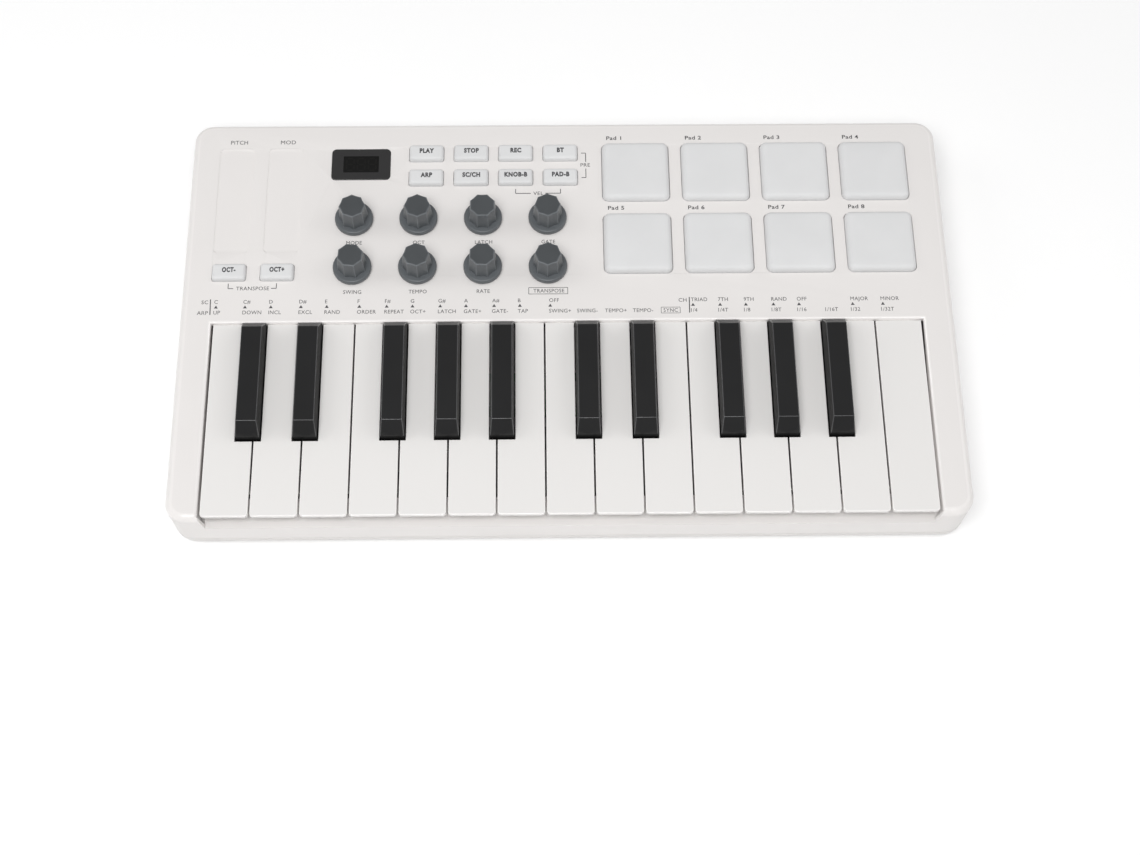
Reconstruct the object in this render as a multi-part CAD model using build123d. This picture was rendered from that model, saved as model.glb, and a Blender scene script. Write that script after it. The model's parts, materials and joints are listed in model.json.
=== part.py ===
from build123d import *

import math
import os

# Mini keyboard controller, 25 keys. Millimetres, +X right, +Y to the rear, +Z up.
# The origin is on the desk, under the middle of the case.

# ---- driving dimensions -------------------------------------------------
CASE_W = 328.0          # width over the case
CASE_D = 189.9          # depth over the case
PANEL_Z = 27.0          # top of the control panel above the desk
FOOT_H = 2.0            # rubber feet
SPLIT_Z = 8.0           # joint line between the two shells
REVEAL = 0.3            # open groove at the joint line
WALL = 2.2              # shell wall
PANEL_T = 2.4           # control panel thickness
TOP_CORNER = 8.0        # plan corner radius at the top edge
SPLIT_CORNER = 10.0     # plan corner radius at the joint line
TOP_ROUND = 3.0         # rounding of the top edge
FRONT_DRAFT = 0.6       # how far the front leans out towards the joint line
SIDE_DRAFT = 0.5        # how far each side leans in towards the joint line

WHITE_PITCH = 20.0      # one white key and its gap
WHITE_GAP = 0.7
WHITE_COUNT = 15
KEY_FRONT_Y = -92.75
PANEL_EDGE_Y = -5.05    # front edge of the panel, over the key tails
KEY_TOP_Z = 26.2
KEY_PLATE_T = 1.8
KEY_WALL = 1.4
NOTCH_W = 10.8          # cut-out for a black key
NOTCH_FRONT_Y = -59.55
BLACK_W = 9.9
BLACK_TOP_W = 8.5
BLACK_TOP_Z = 34.2
BLACK_FOOT_Z = 28.4     # the sides and the front stand upright up to here, then lean in
BLACK_EDGE = 0.3        # rounding of a black key's edges
WHITE_EDGE = 0.4        # rounding of a white key's top edge
PIVOT_Y = 8.65
PIVOT_Z = 19.5
AXLE_R = 2.0
AXLE_CLEAR = 0.3

LIP_Z = 18.0            # lowered front wall and the shelf behind it
SHELF_REAR_Y = -81.75
OPENING_HALF_W = 150.6

KNOB_X = [-91.9, -64.1, -36.2, -8.3]
KNOB_Y = [44.9, 20.75]
KNOB_TOP_Z = 39.0
FLANGE_R = 8.24
FLUTES = 8

PAD_SIZE = 29.1
PAD_X = [30.5 + 34.9 * i for i in range(4)]
PAD_Y = [68.3, 32.3]
PAD_TOP_Z = 30.0
PAD_TRAVEL = 1.0

BUTTON_W = 14.9
BUTTON_D = 7.65
BUTTON_X = [-61.2, -41.6, -22.1, -2.5]
BUTTON_Y = [78.4, 65.9]
BUTTON_TOP_Z = 29.3
BUTTON_TRAVEL = 1.0
OCTAVE_W = 14.2
OCTAVE_X = [-144.4, -123.95]
OCTAVE_Y = 19.0

STRIP_SPANS = [(-152.0, -136.8), (-130.6, -115.2)]
STRIP_Y = (28.95, 81.85)
STRIP_DEPTH = 0.5

WINDOW_W = 25.8
WINDOW_D = 16.0
WINDOW_X = -89.9
WINDOW_Y = 73.35
WINDOW_T = 1.6

BOARD_TOP_Z = 16.0
BOARD_T = 1.6
BOARD_PEG_X = [-156.5, -108.5, 10.5, 155.5]
BOARD_PEG_Y = [24.0, 57.0]

USB_X = -122.0
JACK_X = -142.0
SOCKET_BOARD_Z = 10.4
JACK_Z = 16.7
JACK_BORE_R = 3.25

SCREW_X = [-156.8, -52.0, 52.0, 156.8]
SCREW_Y = [-87.5, 88.6]
SCREW_R = 1.3
SCREW_HEAD_R = 2.5
SCREW_HEAD_H = 1.8
SCREW_LEN = 8.0
BOSS_R = 3.4

FOOT_R = 7.0
FOOT_X = 138.0
FOOT_Y = 78.0

# ---- worked out from them -----------------------------------------------
UNDER_PANEL_Z = PANEL_Z - PANEL_T
BOSS_MEET_Z = SPLIT_Z - REVEAL
FRONT_Y = -CASE_D / 2
REAR_Y = CASE_D / 2
KEY_LEFT_X = -WHITE_PITCH * WHITE_COUNT / 2
KEY_UNDER_Z = KEY_TOP_Z - KEY_PLATE_T
TAIL_TOP_Z = UNDER_PANEL_Z - 0.8
HUB_R = 3.6
SKIRT_Z = 19.0          # underside of the key skirts behind the shelf
PLUNGER_Z = 16.2        # underside of the ribs that press the rubber domes
CONTACT_Y = -31.0
FRAME_TOP_Z = 8.0
FLOOR_Z = FOOT_H + WALL
CONTACT_TOP_Z = FRAME_TOP_Z + 1.6
DOME_TOP_Z = 13.4

NOTES = ["c", "c_sharp", "d", "d_sharp", "e", "f", "f_sharp", "g", "g_sharp", "a", "a_sharp", "b"]
# How far each black key sits off the line between its two white keys.
BLACK_OFFSET = {"c_sharp": -2.1, "d_sharp": 1.3, "f_sharp": -2.8, "g_sharp": -0.4, "a_sharp": 2.2}


def block(x0, x1, y0, y1, z0, z1):
    """A box between two corners."""
    middle = ((x0 + x1) / 2, (y0 + y1) / 2, (z0 + z1) / 2)
    return Pos(*middle) * Box(x1 - x0, y1 - y0, z1 - z0)


def rod(x, y, radius, z0, z1):
    """A round upright."""
    return Pos(x, y, (z0 + z1) / 2) * Cylinder(radius, z1 - z0)


def rounded_block(x, y, width, depth, z0, z1, radius):
    """An upright block with rounded corners in plan."""
    return extrude(Pos(x, y, z0) * RectangleRounded(width, depth, radius), z1 - z0)


def case_section(z, half_w, y0, y1, radius):
    """One level of the case outline."""
    return Pos(0, (y0 + y1) / 2, z) * RectangleRounded(2 * half_w, y1 - y0, radius)


def screw_places():
    return [(x, y) for x in SCREW_X for y in SCREW_Y]


def peg_places():
    return [(x, y) for x in BOARD_PEG_X for y in BOARD_PEG_Y]


def key_list():
    """Every key from left to right: name, whether it is black, and the middle of its tail."""
    keys = []
    white = 0
    for number in range(25):
        note = NOTES[number % 12]
        name = f"{note}_{number // 12 + 1}"
        left = KEY_LEFT_X + WHITE_PITCH * white
        if note in BLACK_OFFSET:
            keys.append({"name": name, "black": True, "x": left + BLACK_OFFSET[note]})
        else:
            keys.append({"name": name, "black": False, "left": left})
            white += 1
    for number, key in enumerate(keys):
        if key["black"]:
            continue
        key["x0"] = key["left"] + WHITE_GAP / 2
        key["x1"] = key["left"] + WHITE_PITCH - WHITE_GAP / 2
        before = keys[number - 1] if number > 0 else {"black": False}
        after = keys[number + 1] if number + 1 < len(keys) else {"black": False}
        key["rear_x0"] = before["x"] + NOTCH_W / 2 if before["black"] else key["x0"]
        key["rear_x1"] = after["x"] - NOTCH_W / 2 if after["black"] else key["x1"]
        key["x"] = (key["rear_x0"] + key["rear_x1"]) / 2
    return keys


# ---- case ---------------------------------------------------------------
def upper_case():
    top = case_section(PANEL_Z, CASE_W / 2, FRONT_Y + FRONT_DRAFT, REAR_Y, TOP_CORNER)
    split = case_section(SPLIT_Z, CASE_W / 2 - SIDE_DRAFT, FRONT_Y, REAR_Y - SIDE_DRAFT, SPLIT_CORNER)
    shell = loft([split, top], ruled=True)
    shell = fillet(shell.edges().group_by(Axis.Z)[-1], TOP_ROUND)
    half = CASE_W / 2 - WALL
    roof = case_section(UNDER_PANEL_Z, half, FRONT_Y + FRONT_DRAFT + WALL, REAR_Y - WALL, TOP_CORNER - WALL)
    mouth = case_section(SPLIT_Z - 0.1, half - SIDE_DRAFT, FRONT_Y + WALL,
                         REAR_Y - SIDE_DRAFT - WALL, SPLIT_CORNER - WALL)
    shell -= loft([mouth, roof], ruled=True)
    shell -= key_opening()
    shell += cheek_walls_and_shelf()
    shell = round_opening(shell)
    for x, y in screw_places():
        top_z = UNDER_PANEL_Z + 0.5 if y > 0 or abs(x) > OPENING_HALF_W else LIP_Z - 1.0
        shell += rod(x, y, BOSS_R, BOSS_MEET_Z, top_z)
        shell -= rod(x, y, SCREW_R + 0.1, BOSS_MEET_Z - 1, BOSS_MEET_Z + 6.8)
    for x, y in peg_places():
        shell += rod(x, y, 2.5, BOARD_TOP_Z, UNDER_PANEL_Z + 0.5)
        shell -= rod(x, y, SCREW_R + 0.1, BOARD_TOP_Z - 1, BOARD_TOP_Z + 7.2)
    shell -= panel_holes()
    shell -= rear_holes()
    return shell


def key_opening():
    """The well that the keys stand in, open towards the front above the lip."""
    well = block(-OPENING_HALF_W, OPENING_HALF_W, KEY_FRONT_Y - 0.25, PANEL_EDGE_Y, LIP_Z, PANEL_Z + 1)
    rise = PANEL_Z + 1 - LIP_Z
    lean = 2.2 * rise / (PANEL_Z - LIP_Z)
    foot = OPENING_HALF_W - 2.2
    profile = Polyline((-foot, LIP_Z), (foot, LIP_Z), (foot + lean, LIP_Z + rise), (-foot - lean, LIP_Z + rise),
                       close=True)
    ramp = extrude(Plane.XZ * make_face(profile), 10, dir=(0, -1, 0))
    return well + Pos(0, KEY_FRONT_Y + 0.5, 0) * ramp


def cheek_walls_and_shelf():
    front = FRONT_Y + 1.2
    inside = OPENING_HALF_W + 2.0
    shelf = block(-inside, inside, front, SHELF_REAR_Y, LIP_Z - 2.2, LIP_Z)
    apron = block(-OPENING_HALF_W, OPENING_HALF_W, SHELF_REAR_Y - 1.6, SHELF_REAR_Y, 12.0, LIP_Z - 1)
    walls = [block(min(s * OPENING_HALF_W, s * inside), max(s * OPENING_HALF_W, s * inside),
                   front, PANEL_EDGE_Y + 8, 10.0, UNDER_PANEL_Z + 0.5) for s in (-1, 1)]
    return shelf + apron + walls[0] + walls[1]


def round_opening(shell):
    """Soften the edges round the key well."""
    def on_edge(edge):
        c = edge.center()
        level = abs(c.Z - PANEL_Z) < 0.01
        rear = abs(c.Y - PANEL_EDGE_Y) < 0.01
        side = abs(abs(c.X) - OPENING_HALF_W) < 0.01 and c.Y < PANEL_EDGE_Y
        return level and (rear or side)
    return fillet([e for e in shell.edges() if on_edge(e)], 1.2)


def panel_holes():
    low = UNDER_PANEL_Z - 1
    high = PANEL_Z + 1
    holes = [rod(x, y, 3.7, low, high) for x in KNOB_X for y in KNOB_Y]
    holes += [rounded_block(x, y, BUTTON_W + 0.6, BUTTON_D + 0.6, low, high, 1.3)
              for x in BUTTON_X for y in BUTTON_Y]
    holes += [rounded_block(x, OCTAVE_Y, OCTAVE_W + 0.6, BUTTON_D + 0.6, low, high, 1.3) for x in OCTAVE_X]
    holes += [rounded_block(x, y, PAD_SIZE + 0.7, PAD_SIZE + 0.7, low, high, 3.0) for x in PAD_X for y in PAD_Y]
    for x0, x1 in STRIP_SPANS:
        y0, y1 = STRIP_Y
        holes.append(rounded_block((x0 + x1) / 2, (y0 + y1) / 2, x1 - x0, y1 - y0, PANEL_Z - STRIP_DEPTH, high, 2.0))
    holes.append(rounded_block(WINDOW_X, WINDOW_Y, WINDOW_W + 0.2, WINDOW_D + 0.2, PANEL_Z - WINDOW_T, high, 2.1))
    holes.append(rounded_block(WINDOW_X, WINDOW_Y, WINDOW_W - 4, WINDOW_D - 4, low, high, 1.0))
    return Compound(children=holes)


def rear_holes():
    usb = block(USB_X - 6.3, USB_X + 6.3, REAR_Y - 6, REAR_Y + 2, SOCKET_BOARD_Z - 0.3, SOCKET_BOARD_Z + 11.3)
    jack = Pos(JACK_X, REAR_Y, JACK_Z) * Rot(90, 0, 0) * Cylinder(4.8, 12)
    return Compound(children=[usb, jack])


def lower_case():
    wide = CASE_W / 2 - SIDE_DRAFT
    rim_z = SPLIT_Z - REVEAL
    bend_z = 5.5
    inset = 2.8
    base = case_section(FOOT_H, wide - inset, FRONT_Y + inset, REAR_Y - SIDE_DRAFT - inset, SPLIT_CORNER - inset)
    bend = case_section(bend_z, wide, FRONT_Y, REAR_Y - SIDE_DRAFT, SPLIT_CORNER)
    tray = loft([base, bend], ruled=True) + extrude(bend, rim_z - bend_z)
    inner = case_section(FLOOR_Z, wide - inset - 1.0, FRONT_Y + inset + 1.0,
                         REAR_Y - SIDE_DRAFT - inset - 1.0, SPLIT_CORNER - inset)
    tray -= extrude(inner, SPLIT_Z)
    tongue_out = case_section(FLOOR_Z, wide - WALL - 0.4, FRONT_Y + WALL + 0.4,
                              REAR_Y - SIDE_DRAFT - WALL - 0.4, SPLIT_CORNER - WALL)
    tray += extrude(tongue_out, 9.6 - FLOOR_Z) - extrude(inner, 9.6 - FLOOR_Z)
    for x, y in screw_places():
        tray -= rod(x, y, BOSS_R + 0.3, BOSS_MEET_Z, BOSS_MEET_Z + 3)
        tray += rod(x, y, BOSS_R, FOOT_H, BOSS_MEET_Z)
        tray -= rod(x, y, SCREW_HEAD_R + 0.3, FOOT_H - 1, FOOT_H + 3.8)
        tray -= rod(x, y, SCREW_R + 0.3, FOOT_H, BOSS_MEET_Z + 1)
    for x in (JACK_X - 6, USB_X + 6):
        tray += block(x - 2, x + 2, 74, 90, FLOOR_Z - 0.5, SOCKET_BOARD_Z - BOARD_T)
    tray -= block(-16, 16, REAR_Y - 26, REAR_Y - 14, FOOT_H - 1, FOOT_H + 0.6)
    return tray


def rubber_feet():
    feet = []
    for x in (-FOOT_X, FOOT_X):
        for y in (-FOOT_Y, FOOT_Y):
            foot = rod(x, y, FOOT_R, 0, FOOT_H)
            feet.append(chamfer(foot.edges().group_by(Axis.Z)[0], 0.5))
    return feet


def screw(x, y, head_z):
    """A pan-head screw that points up, its head resting under head_z."""
    body = rod(x, y, SCREW_HEAD_R, head_z - SCREW_HEAD_H, head_z) + rod(x, y, SCREW_R, head_z, head_z + SCREW_LEN)
    body = fillet(body.edges().group_by(Axis.Z)[0], 0.6)
    for turn in (0, 90):
        body -= Pos(x, y, head_z - SCREW_HEAD_H) * Rot(0, 0, turn) * Box(3.0, 0.7, 1.6)
    return body


def screws():
    """Case screws from below, and the same screws holding the control board to its pegs."""
    group = [screw(x, y, FOOT_H + 3.8) for x, y in screw_places()]
    group += [screw(x, y, BOARD_TOP_Z - BOARD_T) for x, y in peg_places()]
    return group


# ---- keys ---------------------------------------------------------------
def tail(x, width, front_y):
    """The part of a key that passes under the panel and clips on the axle."""
    arm = block(x - width / 2, x + width / 2, front_y, PIVOT_Y, SKIRT_Z, TAIL_TOP_Z)
    hub = Pos(x, PIVOT_Y, PIVOT_Z) * Rot(0, 90, 0) * Cylinder(HUB_R, width)
    bore = Pos(x, PIVOT_Y, PIVOT_Z) * Rot(0, 90, 0) * Cylinder(AXLE_R + AXLE_CLEAR, width + 2)
    mouth = block(x - width, x + width, PIVOT_Y - 1.7, PIVOT_Y + 1.7, PIVOT_Z - HUB_R - 1, PIVOT_Z)
    return arm + hub - bore - mouth


def white_outline(key, inset, front_y, rear_y):
    """Plan of a white key between two depths, drawn inset from its edges."""
    x0, x1 = key["x0"] + inset, key["x1"] - inset
    r0, r1 = key["rear_x0"] + inset, key["rear_x1"] - inset
    notch_y = NOTCH_FRONT_Y - inset
    outline = [(x0, front_y), (x1, front_y)]
    outline += [(x1, notch_y), (r1, notch_y)] if key["rear_x1"] < key["x1"] - 0.01 else []
    outline += [(r1, rear_y), (r0, rear_y)]
    outline += [(r0, notch_y), (x0, notch_y)] if key["rear_x0"] > key["x0"] + 0.01 else []
    return make_face(Polyline(*outline, close=True))


def white_key(key):
    """A hollow moulded key: top plate, skirts, a plunger rib and a tail."""
    rear_y = PANEL_EDGE_Y - 0.6
    plan = white_outline(key, 0, KEY_FRONT_Y, rear_y)
    body = Pos(0, 0, KEY_UNDER_Z) * extrude(plan, KEY_PLATE_T)
    front_edges = [e for e in body.edges().filter_by(Axis.Z) if e.center().Y < KEY_FRONT_Y + 0.1]
    body = fillet(front_edges, 1.5)
    rim = white_outline(key, 0.3, KEY_FRONT_Y + 1.0, -79.0) - white_outline(key, KEY_WALL, KEY_FRONT_Y + 2.4, -80.0)
    body += Pos(0, 0, 22.6) * extrude(rim, KEY_UNDER_Z - 22.6)
    skirt = white_outline(key, 0.3, -80.2, rear_y) - white_outline(key, KEY_WALL, -78.8, rear_y - KEY_WALL)
    body += Pos(0, 0, SKIRT_Z) * extrude(skirt, KEY_UNDER_Z - SKIRT_Z)
    body = fillet([e for e in body.edges().group_by(Axis.Z)[-1] if e.center().Y < rear_y - 0.1], WHITE_EDGE)
    body += block(key["x"] - 2.5, key["x"] + 2.5, CONTACT_Y - 2, CONTACT_Y + 2, PLUNGER_Z, KEY_UNDER_Z)
    body += tail(key["x"], 8.0, rear_y - 1.0)
    return body


def black_key(key):
    """A raised key with a sloping front, hollow below, on the same axle."""
    x = key["x"]
    front_y = NOTCH_FRONT_Y + 0.8
    rear_y = PANEL_EDGE_Y - 0.8
    low = Pos(x, (front_y + rear_y) / 2, BLACK_FOOT_Z) * Rectangle(BLACK_W, rear_y - front_y)
    crest_front, crest_rear = front_y + 4.9, rear_y - 4.6
    high = Pos(x, (crest_front + crest_rear) / 2, BLACK_TOP_Z) * Rectangle(BLACK_TOP_W, crest_rear - crest_front)
    cap = loft([low, high], ruled=True)
    cap = fillet(cap.edges().filter_by(lambda e: e.center().Z > BLACK_FOOT_Z + 0.1), BLACK_EDGE)
    body = cap + extrude(low, SKIRT_Z - BLACK_FOOT_Z)
    body -= block(x - BLACK_W / 2 + KEY_WALL, x + BLACK_W / 2 - KEY_WALL, front_y + KEY_WALL,
                  rear_y - KEY_WALL, SKIRT_Z - 1, KEY_TOP_Z + 1)
    body += block(x - 2.5, x + 2.5, CONTACT_Y - 2, CONTACT_Y + 2, PLUNGER_Z, KEY_TOP_Z + 1.5)
    body += tail(x, 7.0, rear_y - 1.0)
    return body


def key_frame():
    """The chassis under the keys: beams, the axle in its comb, and a guide post in each key."""
    half = OPENING_HALF_W - 0.8
    frame = block(-half, half, 4.0, 14.0, FLOOR_Z, FRAME_TOP_Z)
    frame += block(-half, half, -54.5, -45.5, FLOOR_Z, FRAME_TOP_Z)
    frame += block(-half, half, -76.0, -66.0, FLOOR_Z, FRAME_TOP_Z)
    for x in [-148.5 + 59.4 * i for i in range(6)]:
        frame += block(x - 1.5, x + 1.5, -70.0, 8.0, FLOOR_Z, FRAME_TOP_Z)
    keys = key_list()
    sides = [(k["x"] - (3.5 if k["black"] else 4.0), k["x"] + (3.5 if k["black"] else 4.0)) for k in keys]
    webs = [-half + 0.8] + [(a[1] + b[0]) / 2 for a, b in zip(sides, sides[1:])] + [half - 0.8]
    for x in webs:
        frame += block(x - 0.8, x + 0.8, 4.0, 13.0, FRAME_TOP_Z, PIVOT_Z + 3.2)
    frame += Pos(0, PIVOT_Y, PIVOT_Z) * Rot(0, 90, 0) * Cylinder(AXLE_R, 2 * half)
    for key in keys:
        y = -50.0 if key["black"] else -71.0
        wide = 1.8 if key["black"] else 3.0
        middle = key["x"] if key["black"] else (key["x0"] + key["x1"]) / 2
        frame += block(middle - wide, middle + wide, y - 2, y + 2, FRAME_TOP_Z, 20.5)
    return frame


def key_contacts():
    """The contact board and the two rubber dome strips on it, one per octave."""
    keys = key_list()
    half = OPENING_HALF_W - 2.0
    board = block(-half, half, CONTACT_Y - 10, CONTACT_Y + 10, FRAME_TOP_Z, CONTACT_TOP_Z)
    solids = [board]
    for group in (keys[:12], keys[12:]):
        x0, x1 = group[0]["x"] - 5.0, group[-1]["x"] + 5.0
        strip = block(x0, x1, CONTACT_Y - 5.5, CONTACT_Y + 5.5, CONTACT_TOP_Z, CONTACT_TOP_Z + 1.0)
        for key in group:
            height = DOME_TOP_Z - CONTACT_TOP_Z - 1.0
            strip += Pos(key["x"], CONTACT_Y, CONTACT_TOP_Z + 1.0 + height / 2) * Cone(4.0, 2.6, height)
        solids.append(strip)
    return solids


# ---- controls -----------------------------------------------------------
def fluted_outline(radius, z, depth):
    """A ring of hollow flutes between sharp ridges, their depth a share of the radius."""
    step = 2 * math.pi / FLUTES
    edges = []
    for i in range(FLUTES):
        a, b = (i - 0.5) * step, (i + 0.5) * step
        hollow = (1 - depth) * radius
        edges.append(ThreePointArc((radius * math.cos(a), radius * math.sin(a)),
                                   (hollow * math.cos(i * step), hollow * math.sin(i * step)),
                                   (radius * math.cos(b), radius * math.sin(b))))
    return Pos(0, 0, z) * make_face(Curve() + edges)


def knob(x, y):
    """A fluted cap on its round encoder shaft."""
    flange_z = PANEL_Z + 0.5
    stem_z = flange_z + 2.3
    flange = rod(0, 0, FLANGE_R, flange_z, stem_z)
    flange = fillet(flange.edges().group_by(Axis.Z)[-1], 0.7)
    stem = loft([fluted_outline(6.4, stem_z - 0.5, 0.13), fluted_outline(5.6, KNOB_TOP_Z, 0.10)], ruled=True)
    cap = flange + stem
    cap = cap - rod(0, 0, 3.05, flange_z - 1, 36.0)
    shaft = rod(0, 0, 3.0, 18.2, 35.8)
    return [Pos(x, y, 0) * cap, Pos(x, y, 0) * shaft]


def button(x, y, width):
    """A push cap with a flange that holds it under the panel, and a stem."""
    flange_top = UNDER_PANEL_Z - 0.4
    cap = rounded_block(x, y, width, BUTTON_D, flange_top - 1, BUTTON_TOP_Z, 1.0)
    cap = fillet(cap.edges().group_by(Axis.Z)[-1], 0.8)
    cap += rounded_block(x, y, width + 2.4, BUTTON_D + 2.4, flange_top - 1, flange_top, 1.5)
    return cap + rod(x, y, 1.7, 21.3, flange_top)


def pad(x, y):
    """A thick silicone pad with a flange under the panel and a boss that presses its sensor."""
    flange_top = UNDER_PANEL_Z - 0.4
    body = rounded_block(x, y, PAD_SIZE, PAD_SIZE, flange_top - 1.2, PAD_TOP_Z, 2.65)
    body = fillet(body.edges().group_by(Axis.Z)[-1], 1.2)
    body += rounded_block(x, y, PAD_SIZE + 3.2, PAD_SIZE + 3.2, flange_top - 1.2, flange_top, 4.0)
    return body + rod(x, y, 8.0, 18.3, flange_top)


def display_window():
    plate = rounded_block(WINDOW_X, WINDOW_Y, WINDOW_W, WINDOW_D, PANEL_Z - WINDOW_T, PANEL_Z + 0.15, 2.0)
    return fillet(plate.edges().group_by(Axis.Z)[-1], 0.3)


def encoder(x, y):
    body = block(x - 6, x + 6, y - 5.5, y + 5.5, BOARD_TOP_Z, 22.4)
    return body - rod(x, y, 3.3, 17.9, 23)


def tact_switch(x, y):
    body = block(x - 3, x + 3, y - 3, y + 3, BOARD_TOP_Z, BOARD_TOP_Z + 3.5)
    return body + rod(x, y, 1.7, BOARD_TOP_Z + 3.5, BOARD_TOP_Z + 4.0)


def control_board():
    """The board under the panel, with the parts soldered to it as solids of their own."""
    low = BOARD_TOP_Z - BOARD_T
    board = block(-159.5, 159.0, 14.4, 84.4, low, BOARD_TOP_Z) - block(-161, -108, 66, 86, low - 1, BOARD_TOP_Z + 1)
    for x, y in peg_places():
        board -= rod(x, y, SCREW_R + 0.2, low - 1, BOARD_TOP_Z + 1)
    solids = [board]
    solids += [encoder(x, y) for x in KNOB_X for y in KNOB_Y]
    solids += [tact_switch(x, y) for x in BUTTON_X for y in BUTTON_Y]
    solids += [tact_switch(x, OCTAVE_Y) for x in OCTAVE_X]
    solids += [rod(x, y, 9.0, BOARD_TOP_Z, BOARD_TOP_Z + 0.6) for x in PAD_X for y in PAD_Y]
    solids.append(block(WINDOW_X - 9.5, WINDOW_X + 9.5, WINDOW_Y - 5, WINDOW_Y + 5, BOARD_TOP_Z, 24.0))
    solids.append(block(-60, -50, 45, 55, low - 1.4, low))
    return solids


def rear_sockets():
    """USB type B inlet and pedal jack on their own small board."""
    low = SOCKET_BOARD_Z
    face_y = REAR_Y - SIDE_DRAFT
    board = block(JACK_X - 10, USB_X + 9, 70.5, 90.2, low - BOARD_T, low)
    usb = block(USB_X - 6, USB_X + 6, face_y - 16, face_y, low, low + 11)
    mid_z = low + 5.6
    usb -= block(USB_X - 4.25, USB_X + 4.25, face_y - 9.5, face_y + 1, mid_z - 3.9, mid_z + 3.9)
    usb += block(USB_X - 2.8, USB_X + 2.8, face_y - 10, face_y - 1.0, mid_z - 1.6, mid_z + 1.6)
    jack = block(JACK_X - 8, JACK_X + 8, 70.5, REAR_Y - 3.4, low, JACK_Z + 6.2)
    jack += Pos(JACK_X, face_y - 5, JACK_Z) * Rot(90, 0, 0) * Cylinder(4.5, 10)
    jack -= Pos(JACK_X, face_y - 10, JACK_Z) * Rot(90, 0, 0) * Cylinder(JACK_BORE_R, 22)
    return [board, usb, jack]


# ---- write every node ---------------------------------------------------
def write(name, shape):
    solids = shape if isinstance(shape, list) else [shape]
    flat = [s for item in solids for s in item.solids()]
    export_step(Compound(children=flat, label=name) if len(flat) > 1 else flat[0], f"parts/{name}.step")


def main():
    os.makedirs("parts", exist_ok=True)
    write("upper_case", upper_case())
    write("lower_case", lower_case())
    write("key_frame", key_frame())
    write("key_contacts", key_contacts())
    write("control_board", control_board())
    write("rear_sockets", rear_sockets())
    write("display_window", display_window())
    write("screws", screws())
    write("rubber_feet", rubber_feet())
    for key in key_list():
        write(f"key_{key['name']}", black_key(key) if key["black"] else white_key(key))
    for row, y in enumerate(KNOB_Y):
        for column, x in enumerate(KNOB_X):
            write(f"knob_{row * 4 + column + 1}", knob(x, y))
    for row, y in enumerate(PAD_Y):
        for column, x in enumerate(PAD_X):
            write(f"pad_{row * 4 + column + 1}", pad(x, y))
    names = [["button_play", "button_stop", "button_rec", "button_bt"],
             ["button_arp", "button_scale", "button_knob_bank", "button_pad_bank"]]
    for row, y in enumerate(BUTTON_Y):
        for column, x in enumerate(BUTTON_X):
            write(names[row][column], button(x, y, BUTTON_W))
    for name, x in zip(("button_octave_down", "button_octave_up"), OCTAVE_X):
        write(name, button(x, OCTAVE_Y, OCTAVE_W))


if __name__ == "__main__":
    main()
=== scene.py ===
"""Mini keyboard controller: the looks of its pieces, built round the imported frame.

Laid out as an add-on with one operator for each group of pieces, and run as a script.
"""
import json
import math
from functools import partial

import bmesh
import bpy
from bpy.props import FloatProperty, FloatVectorProperty, IntProperty, PointerProperty
from mathutils import Matrix, Vector


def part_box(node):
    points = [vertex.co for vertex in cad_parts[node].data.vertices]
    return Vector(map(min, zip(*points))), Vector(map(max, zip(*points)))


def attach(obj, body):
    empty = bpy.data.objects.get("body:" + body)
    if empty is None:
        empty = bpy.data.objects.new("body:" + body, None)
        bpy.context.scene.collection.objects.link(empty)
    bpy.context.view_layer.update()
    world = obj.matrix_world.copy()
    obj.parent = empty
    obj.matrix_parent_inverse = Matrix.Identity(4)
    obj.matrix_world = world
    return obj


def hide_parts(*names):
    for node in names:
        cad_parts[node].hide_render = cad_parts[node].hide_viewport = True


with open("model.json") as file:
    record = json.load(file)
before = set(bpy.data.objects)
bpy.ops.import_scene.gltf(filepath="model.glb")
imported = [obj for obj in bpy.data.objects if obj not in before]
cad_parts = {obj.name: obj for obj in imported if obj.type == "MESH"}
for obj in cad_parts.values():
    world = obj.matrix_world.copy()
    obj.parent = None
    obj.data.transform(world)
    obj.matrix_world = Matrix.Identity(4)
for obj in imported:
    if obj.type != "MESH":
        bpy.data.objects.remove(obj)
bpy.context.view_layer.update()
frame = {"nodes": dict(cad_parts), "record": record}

bl_info = {
    "name": "Mini Keyboard Controller",
    "version": (1, 0, 0),
    "blender": (4, 5, 0),
    "location": "3D View > Sidebar > Keyboard",
    "description": "Builds the shells, keys, knobs, pads, legends and studio of a mini keyboard",
    "category": "Object",
}

MM = 0.001
PANEL_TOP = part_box("upper_case")[1].z
KEY_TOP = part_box("key_c_1")[1].z
CAP_FLARE = 0.2 * MM          # how far a pad's or button's side leans out towards its foot
RIM_DEPTH = 2.8 * MM          # from the panel down to the rims that hold the pads and buttons
UPRIGHT = 0.08                # faces whose normals rise less than this count as upright
KNOB_SIDES = 128
KNOB_ROWS = 26                # rows of faces up a knob's stem; the last two make its rounded rim
KNOB_TOP_RINGS = 14
# Painted highlight on the knobs: the share that lightens a knob's sides and its skirt, standing in for the
# light they catch.
SIDE_PAINTED_LIGHT = 0.42
SKIRT_PAINTED_LIGHT = 0.45
HIGHLIGHT_LIGHTENING = 2.8                  # how much lighter the painted highlight makes a knob's ridges
LETTER_CAPITAL = 0.682        # capital height of the built-in letters at size one
PAD_NODES = [f"pad_{i}" for i in range(1, 9)]
KNOB_NODES = [f"knob_{i}" for i in range(1, 9)]
KEY_NODES = [n for n in frame["record"]["behaviour"]["bodies"] if n.startswith("key_")]
BLACK_NODES = [n for n in KEY_NODES if "sharp" in n]
WHITE_NODES = [n for n in KEY_NODES if "sharp" not in n]
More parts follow.
